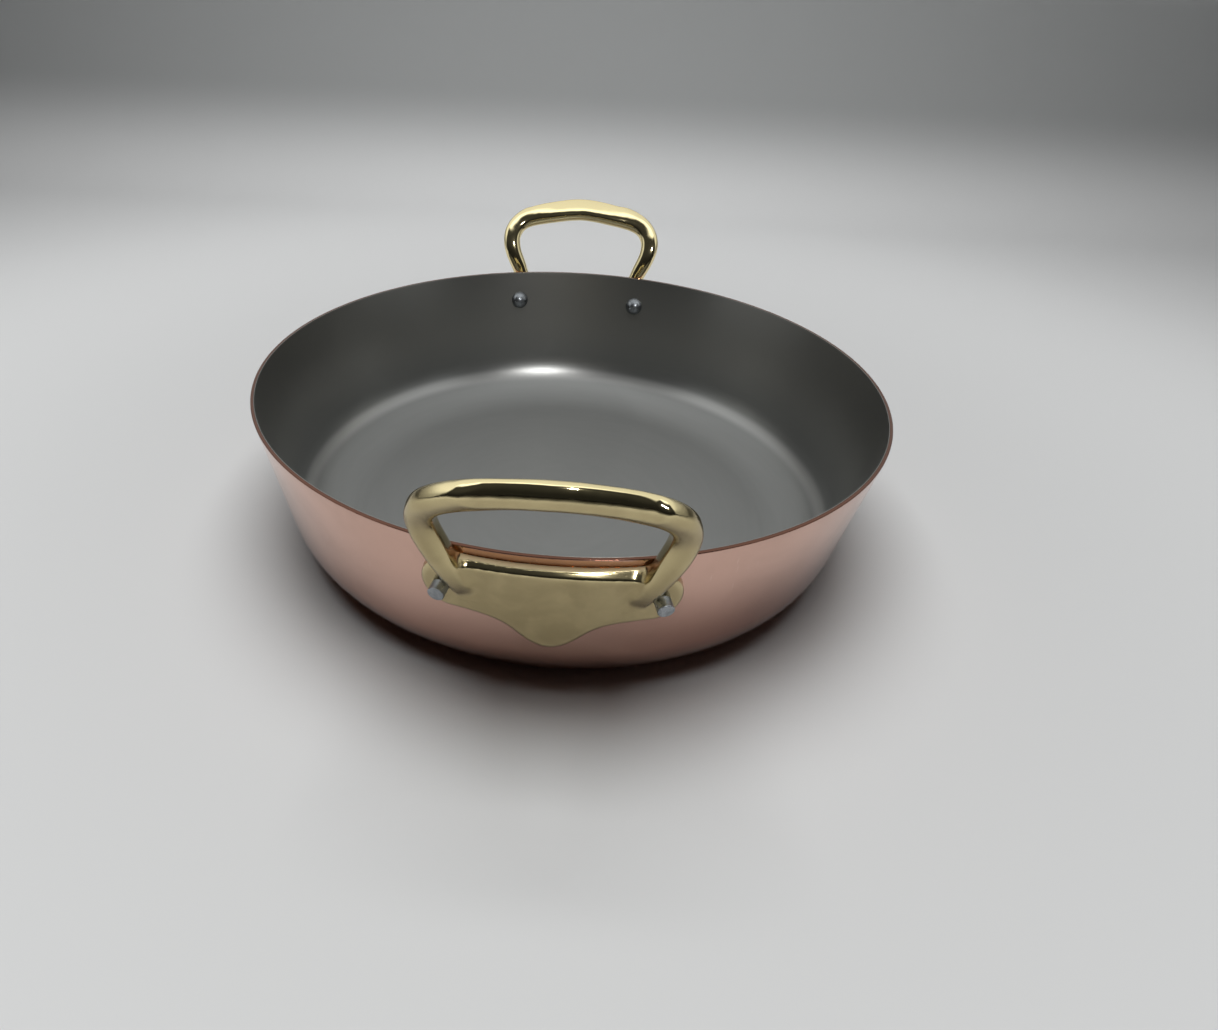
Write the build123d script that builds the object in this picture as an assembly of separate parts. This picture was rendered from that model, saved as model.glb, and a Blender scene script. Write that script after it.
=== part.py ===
"""A round gratin dish: a copper sheet body lined with steel, and two cast brass handles on rivets.

Millimetres, +Z up. The origin is the middle of the underside, on the surface that the dish stands on.
The front handle points to -Y and the rear one is the same casting turned half a circle.
"""

from build123d import *
from math import atan2, cos, radians, sin, sqrt
import os

# Dish
RIM_RADIUS = 130.0
DISH_HEIGHT = 70.0
FLAT_RADIUS = 92.5
OUTER_BEND_RADIUS = 28.5
COPPER_THICKNESS = 1.2
STEEL_THICKNESS = 0.3
RIM_EDGE_BREAK = 0.25

# Handle plate
PLATE_BELOW_RIM = 3.0
PLATE_HEIGHT = 36.0
PLATE_HALF_WIDTH = 40.0
PLATE_THICKNESS = 4.2
PLATE_TOP_BEVEL_OUT = 1.9
PLATE_TOP_BEVEL_DOWN = 2.6
PLATE_EDGE_RADIUS = 0.7
# Half of the outline, from the tip at the bottom, as shares of the half width and of the height
TIP_TO_EAR_SHARES = ((0.182, 0.091), (0.345, 0.266), (0.56, 0.361))
EAR_BOTTOM_SHARES = (0.805, 0.386)
EAR_SIDE_SHARES = (1.0, 0.653)
EAR_TOP_SHARES = (0.862, 0.93)
TOP_CORNER_SHARE = 0.65

# Handle loop, measured to the middle line of the bar
LOOP_HALF_WIDTH = 37.4
LOOP_REACH = 14.9
LOOP_RISE = 31.8
LEG_ROOT_BELOW_RIM = 20.0
LEG_ROOT_OFF_WALL = 3.5
LEG_ROOT_SHARE = 0.668
LEG_FOOT_BELOW_RIM = 2.6
LEG_FOOT_OFF_WALL = 4.7
LEG_FOOT_SHARE = 0.845
# Sideways, outwards from the rim and up from the rim, as shares of the loop's half width, reach and rise
LEG_TOP_SHARES = (0.997, 0.268, 0.456)
SHOULDER_SHARES = (0.925, 0.591, 0.704)
GRIP_SIDE_SHARES = (0.481, 0.886, 0.925)
WINDOW_CENTRE_SHARES = (0.0, 0.27, 0.22)
LEG_HALF_WIDTH = 4.3
SHOULDER_HALF_WIDTH = 4.8
GRIP_HALF_WIDTH = 7.5
LEG_HALF_DEPTH = 3.8
SHOULDER_HALF_DEPTH = 3.3
GRIP_HALF_DEPTH = 3.8
# The bar is turned about its own line towards the middle, in degrees, so that its broad upper side faces the dish
GRIP_TURN = 26.0
LOOP_SECTIONS = 21
# The legs' inner sides are trimmed flat, from the plate's top to the shoulder
FLAT_LOW_SHARE = 0.754
FLAT_HIGH_SHARE = 0.888
FLAT_TOP_SHARE = 0.566

# Rivets
RIVET_INSET = 7.4
RIVET_BELOW_PLATE_TOP = 12.2
RIVET_SHANK_RADIUS = 2.7
RIVET_STUB_LENGTH = 3.8
RIVET_STUB_EDGE_BREAK = 0.3
RIVET_HEAD_RADIUS = 4.6
RIVET_HEAD_HEIGHT = 3.2
RIVET_HOLE_CLEARANCE = 0.05

# One overrun for every cutting shape
OVERRUN = 6.0

SHEET_THICKNESS = COPPER_THICKNESS + STEEL_THICKNESS
PLATE_TOP_Z = DISH_HEIGHT - PLATE_BELOW_RIM
PLATE_TIP_Z = PLATE_TOP_Z - PLATE_HEIGHT
RIVET_U = PLATE_HALF_WIDTH - RIVET_INSET
RIVET_Z = PLATE_TOP_Z - RIVET_BELOW_PLATE_TOP


def wall_tangent_angle():
    """Angle, from the horizontal, of the radius where the bend meets the straight wall."""
    run = RIM_RADIUS - FLAT_RADIUS
    rise = DISH_HEIGHT - OUTER_BEND_RADIUS
    reach = sqrt(run**2 + rise**2)
    # The wall touches the bend's circle and ends at the rim, so the two make a right triangle.
    opening = atan2(sqrt(reach**2 - OUTER_BEND_RADIUS**2), OUTER_BEND_RADIUS)
    return atan2(rise, run) - opening


WALL_ANGLE = wall_tangent_angle()
# Unit vector square to the wall, outwards, in radius and height
WALL_OUT = (cos(WALL_ANGLE), sin(WALL_ANGLE))


def wall_radius(z, depth):
    """Radius of the wall's surface at height z, depth inwards from the outer surface."""
    lean = -WALL_OUT[1] / WALL_OUT[0]
    return RIM_RADIUS - (DISH_HEIGHT - z) * lean - depth / WALL_OUT[0]


def surface_line(depth, top_z):
    """The dish's section line, depth inwards from its outer surface, from the axis to height top_z."""
    bend = OUTER_BEND_RADIUS - depth
    centre = (FLAT_RADIUS, OUTER_BEND_RADIUS)
    half_way = (WALL_ANGLE - radians(90)) / 2
    middle = (centre[0] + bend * cos(half_way), centre[1] + bend * sin(half_way))
    end = (centre[0] + bend * WALL_OUT[0], centre[1] + bend * WALL_OUT[1])
    flat = Line((0, depth), (FLAT_RADIUS, depth))
    arc = ThreePointArc((FLAT_RADIUS, depth), middle, end)
    wall = Line(end, (wall_radius(top_z, depth), top_z))
    return [flat, arc, wall]


def shell_between(outer_depth, inner_depth, outer_break=0.0):
    """Solid of revolution between two depths of the sheet, its rim's outer corner broken."""
    outer = surface_line(outer_depth, DISH_HEIGHT - outer_break)
    inner = surface_line(inner_depth, DISH_HEIGHT)
    outer_end = (wall_radius(DISH_HEIGHT - outer_break, outer_depth), DISH_HEIGHT - outer_break)
    rim_start = (wall_radius(DISH_HEIGHT, outer_depth) - outer_break, DISH_HEIGHT)
    rim_end = (wall_radius(DISH_HEIGHT, inner_depth), DISH_HEIGHT)
    lines = outer + inner + [Line((0, outer_depth), (0, inner_depth)), Line(rim_start, rim_end)]
    if outer_break:
        lines.append(Line(outer_end, rim_start))
    section = Plane.XZ * make_face(Curve() + lines)
    return revolve(section, Axis.Z)


def inside_of(depth):
    """Everything inside the wall's surface at that depth, up to the rim."""
    lines = surface_line(depth, DISH_HEIGHT)
    lines.append(Line((wall_radius(DISH_HEIGHT, depth), DISH_HEIGHT), (0, DISH_HEIGHT)))
    lines.append(Line((0, DISH_HEIGHT), (0, depth)))
    return revolve(Plane.XZ * make_face(Curve() + lines), Axis.Z)


def rivet_planes():
    """For the front handle, one plane per rivet: origin on the outer wall, z square to it, outwards."""
    planes = []
    radius = wall_radius(RIVET_Z, 0)
    for side in (-1, 1):
        turn = side * sin_to_angle(RIVET_U / radius)
        outward = (sin(turn), -cos(turn))
        origin = (radius * outward[0], radius * outward[1], RIVET_Z)
        square = (WALL_OUT[0] * outward[0], WALL_OUT[0] * outward[1], WALL_OUT[1])
        planes.append(Plane(origin=origin, x_dir=(cos(turn), sin(turn), 0), z_dir=square))
    return planes


def sin_to_angle(ratio):
    """Angle whose sine is the ratio, for ratios under one."""
    return atan2(ratio, sqrt(1 - ratio**2))


def rivet(plane):
    """One rivet: a domed head inside the dish, a shank, and a plain stub outside the plate."""
    # The shank starts half way into the head, so that the two are one piece.
    start = -SHEET_THICKNESS - RIVET_HEAD_HEIGHT / 2
    length = PLATE_THICKNESS + RIVET_STUB_LENGTH - start
    shank = Cylinder(RIVET_SHANK_RADIUS, length, align=(Align.CENTER, Align.CENTER, Align.MIN))
    shank = chamfer(shank.edges().sort_by(Axis.Z)[-1], RIVET_STUB_EDGE_BREAK)
    dome_radius = (RIVET_HEAD_RADIUS**2 + RIVET_HEAD_HEIGHT**2) / (2 * RIVET_HEAD_HEIGHT)
    dome = Pos(0, 0, dome_radius - RIVET_HEAD_HEIGHT) * Sphere(dome_radius)
    skirt = Cylinder(RIVET_HEAD_RADIUS, 2 * RIVET_HEAD_HEIGHT)
    head = plane * Pos(0, 0, -SHEET_THICKNESS) * (dome & skirt)
    head = head & inside_of(SHEET_THICKNESS)
    return (plane * Pos(0, 0, start) * shank + head).solid()


def rivet_holes(front_planes):
    """Cutting cylinders for the holes of one pair of rivets."""
    depth = SHEET_THICKNESS + PLATE_THICKNESS + OVERRUN + OVERRUN
    hole = Cylinder(RIVET_SHANK_RADIUS + RIVET_HOLE_CLEARANCE, depth)
    return [plane * hole for plane in front_planes]


def outline_point(across_share, up_share):
    """A point of the plate's outline, seen from the front."""
    return (PLATE_HALF_WIDTH * across_share, PLATE_TIP_Z + PLATE_HEIGHT * up_share)


def plate():
    """The shield-shaped plate: a slice of a cone that lies on the wall, cut to its outline."""
    top = PLATE_TOP_Z
    bevel_start = top - PLATE_TOP_BEVEL_DOWN
    low = PLATE_TIP_Z - OVERRUN
    thin = PLATE_THICKNESS - PLATE_TOP_BEVEL_OUT
    corners = [
        (wall_radius(low, 0), low),
        (wall_radius(top, 0), top),
        (wall_radius(top, -thin), top),
        (wall_radius(bevel_start, -PLATE_THICKNESS), bevel_start),
        (wall_radius(low, -PLATE_THICKNESS), low),
    ]
    ring = revolve(Plane.XZ * make_face(Polyline(*corners, close=True)), Axis.Z)
    tip = outline_point(0, 0)
    ear_bottom = outline_point(*EAR_BOTTOM_SHARES)
    ear_side = outline_point(*EAR_SIDE_SHARES)
    ear_top = outline_point(*EAR_TOP_SHARES)
    top_corner = outline_point(TOP_CORNER_SHARE, 1)
    lower_points = [outline_point(*shares) for shares in TIP_TO_EAR_SHARES]
    lower = Spline(tip, *lower_points, ear_bottom, tangents=((1, 0), (1, 0)))
    ear = ThreePointArc(ear_bottom, ear_side, ear_top)
    # The bevelled ring gives the top edge, so the outline only has to clear it.
    clear_of_top = (top_corner[0], top + OVERRUN)
    slope = Line(ear_top, top_corner)
    rise_line = Line(top_corner, clear_of_top)
    across = Line(clear_of_top, (0, top + OVERRUN))
    middle = Line((0, top + OVERRUN), tip)
    half = make_face(Curve() + [lower, ear, slope, rise_line, across, middle])
    outline = half + mirror(half, Plane.YZ)
    widest = max(radius for radius, height in corners)
    prism = extrude(Plane.XZ * outline, widest + OVERRUN)
    slab = (ring & prism).solid()
    # The two largest faces are the back and the front. The front one's curved outline is rounded.
    broad_faces = slab.faces().sort_by(SortBy.AREA)[-2:]
    front_face = broad_faces.sort_by(Axis.Y)[0]
    outline_edges = [edge for edge in front_face.edges() if edge.geom_type == GeomType.BSPLINE]
    return fillet(outline_edges, PLATE_EDGE_RADIUS)


def leg_point(across_share, below_rim, off_wall):
    """A point of the right leg's middle line, given by its distance off the outer wall."""
    across = LOOP_HALF_WIDTH * across_share
    up = DISH_HEIGHT - below_rim
    out = sqrt(wall_radius(up, 0) ** 2 - across**2) + off_wall
    return Vector(across, -out, up)


def loop_point(across_share, out_share, up_share):
    """A point of the bar's middle line above the rim, on the right half."""
    out = RIM_RADIUS + LOOP_REACH * out_share
    return Vector(LOOP_HALF_WIDTH * across_share, -out, DISH_HEIGHT + LOOP_RISE * up_share)


def loop():
    """The D-shaped grip: a loft of ellipses along a smooth line through the leg and grip points."""
    right = [
        leg_point(LEG_ROOT_SHARE, LEG_ROOT_BELOW_RIM, LEG_ROOT_OFF_WALL),
        leg_point(LEG_FOOT_SHARE, LEG_FOOT_BELOW_RIM, LEG_FOOT_OFF_WALL),
        loop_point(*LEG_TOP_SHARES),
        loop_point(*SHOULDER_SHARES),
        loop_point(*GRIP_SIDE_SHARES),
    ]
    left = [Vector(-point.X, point.Y, point.Z) for point in right]
    points = left + [loop_point(0, 1, 1)] + right[::-1]
    line = Spline(*points)
    centre = loop_point(*WINDOW_CENTRE_SHARES)
    shoulder_share = line.param_at_point(points[3])
    leg_share = line.param_at_point(points[1])
    sections = []
    for step in range(LOOP_SECTIONS):
        share = step / (LOOP_SECTIONS - 1)
        stops = (min(share, 1 - share), leg_share, shoulder_share)
        half_width = blend(*stops, LEG_HALF_WIDTH, SHOULDER_HALF_WIDTH, GRIP_HALF_WIDTH)
        half_depth = blend(*stops, LEG_HALF_DEPTH, SHOULDER_HALF_DEPTH, GRIP_HALF_DEPTH)
        turn = blend(*stops, 0, 0, GRIP_TURN)
        place = line @ share
        along = line % share
        away = place - centre
        away = away - along * away.dot(along)
        section = Rot(0, 0, turn) * Ellipse(half_width, half_depth)
        sections.append(Plane(origin=place, x_dir=away, z_dir=along) * section)
    return loft(sections)


def blend(share, leg_share, shoulder_share, leg, shoulder, grip):
    """Size at a place on the loop, from its end to the shoulder and on to the middle of the grip."""
    if share <= leg_share:
        return leg
    if share <= shoulder_share:
        part = (share - leg_share) / (shoulder_share - leg_share)
        return leg + (shoulder - leg) * part
    part = (share - shoulder_share) / (0.5 - shoulder_share)
    return shoulder + (grip - shoulder) * sin(radians(90) * part)


def leg_trim():
    """Cutting shape that leaves the legs' inner sides flat."""
    low = LOOP_HALF_WIDTH * FLAT_LOW_SHARE
    high = LOOP_HALF_WIDTH * FLAT_HIGH_SHARE
    top = DISH_HEIGHT + LOOP_RISE * FLAT_TOP_SHARE
    corners = [(-low, PLATE_TOP_Z), (low, PLATE_TOP_Z), (high, top), (-high, top)]
    face = make_face(Polyline(*corners, close=True))
    return extrude(Plane.XZ * face, RIM_RADIUS + LOOP_REACH + OVERRUN)


def handle(holes):
    """The whole casting: loop and plate in one, its back on the wall, with two rivet holes."""
    casting = plate() + (loop() - leg_trim())
    casting = casting - inside_of(0)
    for hole in holes:
        casting = casting - hole
    return casting.solid()


def main():
    front_planes = rivet_planes()
    holes = rivet_holes(front_planes)
    all_holes = holes + [Rot(0, 0, 180) * hole for hole in holes]
    copper = shell_between(0, COPPER_THICKNESS, RIM_EDGE_BREAK)
    steel = shell_between(COPPER_THICKNESS, SHEET_THICKNESS)
    for hole in all_holes:
        copper = copper - hole
        steel = steel - hole
    front = handle(holes)
    left_rivet, right_rivet = [rivet(plane) for plane in front_planes]
    half_turn = Rot(0, 0, 180)
    nodes = {
        "copper_body": copper,
        "steel_lining": steel,
        "front_handle": front,
        "rear_handle": half_turn * front,
        "front_left_rivet": left_rivet,
        "front_right_rivet": right_rivet,
        "rear_right_rivet": half_turn * left_rivet,
        "rear_left_rivet": half_turn * right_rivet,
    }
    os.makedirs("parts", exist_ok=True)
    for name, shape in nodes.items():
        export_step(shape, f"parts/{name}.step")
        print(name, "volume", round(shape.volume))


main()
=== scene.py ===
# %% [markdown]
# # A copper gratin dish with cast brass handles
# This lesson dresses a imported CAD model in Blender. The dish is a copper sheet body lined with steel,
# with two brass castings riveted to its wall. The CAD solids give every size and place. Here the sheets
# and the rivets are turned again with Geometry Nodes, and the castings are cast again with the soft
# corners that sand moulding and hand polishing leave.

# %% Load the frame
import math

import bmesh
import bpy
import numpy as np
from mathutils import Matrix, Vector, noise


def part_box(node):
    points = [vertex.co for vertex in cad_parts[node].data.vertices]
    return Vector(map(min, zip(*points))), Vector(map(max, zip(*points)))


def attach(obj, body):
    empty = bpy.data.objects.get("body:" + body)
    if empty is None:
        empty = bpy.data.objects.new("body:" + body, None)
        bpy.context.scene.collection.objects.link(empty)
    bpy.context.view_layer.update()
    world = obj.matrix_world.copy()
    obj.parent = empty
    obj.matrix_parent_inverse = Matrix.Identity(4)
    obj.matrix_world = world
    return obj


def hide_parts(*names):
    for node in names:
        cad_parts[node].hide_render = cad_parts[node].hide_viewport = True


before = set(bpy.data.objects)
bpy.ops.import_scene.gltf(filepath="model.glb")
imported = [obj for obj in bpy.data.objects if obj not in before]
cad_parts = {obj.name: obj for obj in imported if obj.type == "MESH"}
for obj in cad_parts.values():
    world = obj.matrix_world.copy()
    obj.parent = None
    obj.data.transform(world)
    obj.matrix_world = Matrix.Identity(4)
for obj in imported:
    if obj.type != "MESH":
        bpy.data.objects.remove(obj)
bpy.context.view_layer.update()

scene = bpy.context.scene
scene.view_settings.view_transform = "Standard"

# %% [markdown]
# ## The camera
# The photograph was taken from the front and a little above, with the phone held slightly askew. A
# camera's matrix has its own right, up and back as columns, so the three turns become three vectors.
# The lens shift puts the view's centre where the photograph's own centre of perspective lies.

# %% Camera
MM = 0.001
PHOTO_WIDTH, PHOTO_HEIGHT = 1218, 1030
PERSPECTIVE_CENTRE = (535.2, 459.7)
FOCAL_PIXELS = 800
CAMERA_PLACE = Vector((0.00429, -0.31226, 0.21385))
YAW, PITCH, ROLL = (math.radians(degrees) for degrees in (-3.23, 31.30, 2.09))

ahead = Vector((math.sin(YAW) * math.cos(PITCH), math.cos(YAW) * math.cos(PITCH), -math.sin(PITCH)))
level_right = Vector((math.cos(YAW), -math.sin(YAW), 0))
level_up = level_right.cross(ahead)
right = math.cos(ROLL) * level_right + math.sin(ROLL) * level_up
up = -math.sin(ROLL) * level_right + math.cos(ROLL) * level_up

lens = bpy.data.cameras.new("camera")
lens.sensor_width = 36
lens.lens = lens.sensor_width * FOCAL_PIXELS / PHOTO_WIDTH
lens.shift_x = (PHOTO_WIDTH / 2 - PERSPECTIVE_CENTRE[0]) / PHOTO_WIDTH
lens.shift_y = (PERSPECTIVE_CENTRE[1] - PHOTO_HEIGHT / 2) / PHOTO_WIDTH
lens.clip_start = 0.01
camera = bpy.data.objects.new("camera", lens)
scene.collection.objects.link(camera)
scene.camera = camera
camera_turn = Matrix((right, up, -ahead)).transposed()
camera.matrix_world = Matrix.Translation(CAMERA_PLACE) @ camera_turn.to_4x4()
print("Camera looks along", [round(value, 3) for value in ahead])

# %% [markdown]
# ## Small helpers for node trees
# Materials, the world and Geometry Nodes are all node trees, so the same helpers serve them all. `add`
# makes a node and fills its inputs by name: a plain value is set on the socket, and a socket is linked
# to it. `reckon` does the same for a Math node, whose inputs share one name.

# %% Node helpers
def fill(tree, socket, value):
    """Links a socket to the input, or sets the plain value on it."""
    if isinstance(value, bpy.types.NodeSocket):
        tree.links.new(value, socket)
    else:
        socket.default_value = value


def fill_inputs(tree, node, **inputs):
    """Fills a node's inputs by name. Underscores in an input's name stand for spaces."""
    for name, value in inputs.items():
        fill(tree, node.inputs[name.replace("_", " ")], value)
    return node


def add(tree, kind, settings=None, **inputs):
    """A new node of that kind, with its settings and its inputs."""
    new = tree.nodes.new(kind)
    for name, value in (settings or {}).items():
        setattr(new, name, value)
    return fill_inputs(tree, new, **inputs)


def reckon(tree, operation, *values, clamp=False):
    """A Math node's answer."""
    new = tree.nodes.new("ShaderNodeMath")
    new.operation = operation
    new.use_clamp = clamp
    for socket, value in zip(new.inputs, values):
        fill(tree, socket, value)
    return new.outputs[0]


def times(tree, first, second):
    """The product of two values."""
    return reckon(tree, "MULTIPLY", first, second)


def times_plus(tree, first, second, third):
    """The product of the first two values, plus the third."""
    return reckon(tree, "MULTIPLY_ADD", first, second, third)


def span(tree, value, low, high, to_low=0.0, to_high=1.0):
    """The value taken smoothly from one range to another and held there."""
    new = tree.nodes.new("ShaderNodeMapRange")
    new.interpolation_type = "SMOOTHSTEP"
    for socket, number in zip(new.inputs, (value, low, high, to_low, to_high)):
        fill(tree, socket, number)
    return new.outputs[0]


def blend_colours(tree, share, first, second):
    """The first colour turning to the second with the share."""
    new = tree.nodes.new("ShaderNodeMix")
    new.data_type = "RGBA"
    fill(tree, new.inputs["Factor"], share)
    # A Mix node has sockets for every kind of data, so the ones for colours are found by number
    for socket, colour in ((new.inputs[6], first), (new.inputs[7], second)):
        fill(tree, socket, colour if isinstance(colour, bpy.types.NodeSocket) else (*colour, 1.0))
    return new.outputs[2]


def parts_of(tree, vector):
    """The X, Y and Z of a vector."""
    return add(tree, "ShaderNodeSeparateXYZ", Vector=vector).outputs


def off_axis(tree, place):
    """How far a place is from the upright axis."""
    return reckon(tree, "SQRT", reckon(tree, "ADD", times(tree, place["X"], place["X"]),
                                       times(tree, place["Y"], place["Y"])))


def new_group(name, kind, inputs, outputs):
    """A node group with typed sockets, its input node and its output node."""
    tree = bpy.data.node_groups.new(name, kind)
    for socket_name, socket_type, value in inputs:
        socket = tree.interface.new_socket(socket_name, in_out="INPUT", socket_type=socket_type)
        if value is not None:
            socket.default_value = value
    for socket_name, socket_type in outputs:
        tree.interface.new_socket(socket_name, in_out="OUTPUT", socket_type=socket_type)
    return tree, tree.nodes.new("NodeGroupInput"), tree.nodes.new("NodeGroupOutput")


def use_group(tree, group, **inputs):
    """One use of a shader node group."""
    return add(tree, "ShaderNodeGroup", {"node_tree": group}, **inputs)


FLOAT, VECTOR = "NodeSocketFloat", "NodeSocketVector"

# %% [markdown]
# ## Floor and backdrop
# The dish stands on a pale sheet of paper that curls up behind it. One strip of faces follows the
# floor, a quarter circle and the wall. It is staged, because it isn't part of the dish.

# %% Sweep
SWEEP_HALF_WIDTH = 4.0
SWEEP_FRONT = -4.0
SWEEP_BEND_START = 0.52
SWEEP_BEND_RADIUS = 0.22
SWEEP_TOP = 0.32
BEND_STEPS = 24

line = [(SWEEP_FRONT, 0.0)]
for step in range(BEND_STEPS + 1):
    turned = math.radians(90) * step / BEND_STEPS
    rise = SWEEP_BEND_RADIUS * (1 - math.cos(turned))
    line.append((SWEEP_BEND_START + SWEEP_BEND_RADIUS * math.sin(turned), rise))
line.append((SWEEP_BEND_START + SWEEP_BEND_RADIUS, SWEEP_TOP))

paper = bmesh.new()
rows = [[paper.verts.new((x, y, z)) for x in (-SWEEP_HALF_WIDTH, SWEEP_HALF_WIDTH)] for y, z in line]
for row, following in zip(rows, rows[1:]):
    paper.faces.new((row[0], row[1], following[1], following[0])).smooth = True
paper_mesh = bpy.data.meshes.new("paper_sweep")
paper.to_mesh(paper_mesh)
sweep = bpy.data.objects.new("paper_sweep", paper_mesh)
scene.collection.objects.link(sweep)
print("Sweep faces:", len(paper_mesh.polygons))

# %% Paper material
# Each tone of the paper, and where it takes over from the tone before it, in metres
# Painted light and shade: the paper is darker near the dish and painted lighter far from it, in place of the
# lamp's spread of light
PAPER_COLOUR = (0.56, 0.567, 0.567)
FAR_PAPER_PAINTED_LIGHT = (0.90, 0.91, 0.91)
PAINTED_LIGHT_FROM, PAINTED_LIGHT_TO = 0.12, 0.55
# Painted shade: a grey band low on the backdrop
BACKDROP_PAINTED_SHADE = (0.42, 0.43, 0.43)
BACKDROP_SHADE_FROM, BACKDROP_SHADE_TO = 0.0, 0.10
HIGH_PAPER_COLOUR = (0.97, 0.97, 0.97)
HIGH_PAPER_FROM, HIGH_PAPER_TO = 0.20, 0.28
# Painted shade: the floor turns dark towards the camera, in place of the dim room in front
FRONT_PAPER_PAINTED_SHADE = (0.22, 0.22, 0.22)
FRONT_SHADE_FROM, FRONT_SHADE_TO = -0.75, -0.36
paper_look = bpy.data.materials.new("pale_paper")
paper_look.use_nodes = True
paper_shader = paper_look.node_tree.nodes["Principled BSDF"]
paper_shader.inputs["Roughness"].default_value = 0.55
paper_shader.inputs["Specular IOR Level"].default_value = 0.0
paper_tree = paper_look.node_tree
paper_parts = parts_of(paper_tree, paper_tree.nodes.new("ShaderNodeTexCoord").outputs["Object"])
paper_reach = off_axis(paper_tree, paper_parts)
# Masks for the painted light far out, the painted shade on the backdrop and the painted shade towards the
# camera
painted_light_share = span(paper_tree, paper_reach, PAINTED_LIGHT_FROM, PAINTED_LIGHT_TO)
backdrop_shade_share = span(paper_tree, paper_parts["Z"], BACKDROP_SHADE_FROM, BACKDROP_SHADE_TO)
high_share = span(paper_tree, paper_parts["Z"], HIGH_PAPER_FROM, HIGH_PAPER_TO)
front_shade_share = span(paper_tree, paper_parts["Y"], FRONT_SHADE_FROM, FRONT_SHADE_TO, 1.0, 0.0)
paper_tone = blend_colours(paper_tree, painted_light_share, PAPER_COLOUR, FAR_PAPER_PAINTED_LIGHT)
paper_tone = blend_colours(paper_tree, backdrop_shade_share, paper_tone, BACKDROP_PAINTED_SHADE)
paper_tone = blend_colours(paper_tree, high_share, paper_tone, HIGH_PAPER_COLOUR)
paper_tone = blend_colours(paper_tree, front_shade_share, paper_tone, FRONT_PAPER_PAINTED_SHADE)
paper_tree.links.new(paper_tone, paper_shader.inputs["Base Color"])
paper_mesh.materials.append(paper_look)
print("Paper nodes:", len(paper_tree.nodes))

# %% [markdown]
# ## Light
# Polished metal shows its surroundings and paper shows its lamps, so a studio lights the two apart. The
# world is what the metal mirrors: darker near the horizon, pale overhead, and a little brighter in
# front. One dim stretch of room, where the photographer stood, gives the handles their dark bands, and
# a glow above it edges them. A small lamp over the camera draws the bright spot in the lining's bend.
# The paper has its own wide lamp straight overhead, for the tight shadow round the foot.

# %% World
# Spans of a direction of length 1: heights of its Z, and sides of its heading, -1 straight in front
WORLD_COLOUR = (0.98, 1.0, 1.0, 1.0)
WORLD_LOW, WORLD_HIGH = 0.34, 0.90
WORLD_RISE = (0.12, 0.60)
WORLD_FRONT_GAIN = 0.15
WORLD_SIDE_TILT = 0.10
ROOM_DIM_SHARE = 0.96
ROOM_SIDES, ROOM_FOOT, ROOM_HEAD = (-0.62, -0.42), (-0.25, -0.15), (0.74, 0.84)
GLOW_GAIN = 0.8
GLOW_SIDES, GLOW_FOOT, GLOW_HEAD = (-0.7, -0.2), (0.74, 0.82), (0.86, 0.96)

world = bpy.data.worlds.new("studio")
world.use_nodes = True
scene.world = world
sky = world.node_tree
parts = parts_of(sky, sky.nodes.new("ShaderNodeTexCoord").outputs["Generated"])
flat_squared = reckon(sky, "SUBTRACT", 1.0, times(sky, parts["Z"], parts["Z"]))
flat_length = reckon(sky, "SQRT", reckon(sky, "MAXIMUM", flat_squared, 0.0001))
frontwards = reckon(sky, "DIVIDE", parts["Y"], flat_length)


def patch(sides, foot, head):
    """One in a patch of the world in front, nought outside it, with soft edges."""
    inside = times(sky, span(sky, frontwards, *sides, 1.0, 0.0), span(sky, parts["Z"], *foot))
    return times(sky, inside, span(sky, parts["Z"], *head, 1.0, 0.0))


level = span(sky, parts["Z"], *WORLD_RISE, WORLD_LOW, WORLD_HIGH)
level = times(sky, level, times_plus(sky, parts["Y"], -WORLD_FRONT_GAIN, 1.0))
level = times(sky, level, times_plus(sky, parts["X"], -WORLD_SIDE_TILT, 1.0))
level = times(sky, level, times_plus(sky, patch(ROOM_SIDES, ROOM_FOOT, ROOM_HEAD), -ROOM_DIM_SHARE, 1.0))
level = times(sky, level, times_plus(sky, patch(GLOW_SIDES, GLOW_FOOT, GLOW_HEAD), GLOW_GAIN, 1.0))
sky.nodes["Background"].inputs["Color"].default_value = WORLD_COLOUR
sky.links.new(level, sky.nodes["Background"].inputs["Strength"])
world.cycles_visibility.diffuse = False
print("World nodes:", len(sky.nodes))


# %% Lamps
def soft_lamp(name, place, aim, wide, deep, watts):
    """A rectangular lamp that faces the aim, its long side level."""
    light = bpy.data.lights.new(name, "AREA")
    light.shape = "RECTANGLE"
    light.size = wide
    light.size_y = deep
    light.energy = watts
    lamp = bpy.data.objects.new(name, light)
    scene.collection.objects.link(lamp)
    lamp.location = place
    facing = Vector(aim) - Vector(place)
    lamp.rotation_mode = "QUATERNION"
    lamp.rotation_quaternion = facing.to_track_quat("-Z", "Y")
    return lamp


paper_lamp = soft_lamp("over_paper", (-0.03, -0.09, 0.85), (-0.03, -0.09, 0), wide=0.62, deep=0.66, watts=8.9)
paper_lamp.visible_glossy = False
ring_lamp = soft_lamp("over_camera", (0.31, -1.1, 0.82), (0, 0, 0), wide=0.16, deep=0.05, watts=5.0)
ring_lamp.visible_diffuse = False
print("Lamps:", [light.name for light in bpy.data.lights])

# %% [markdown]
# ## Shared finishes
# Three effects turn up in more than one metal, so each is a shader node group that puts out only
# masks: the fine rings that spinning leaves, the cloudy film of handling, and the skin of a sand casting.

# %% Spun grain
BROAD_SHARE = 0.09

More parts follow.
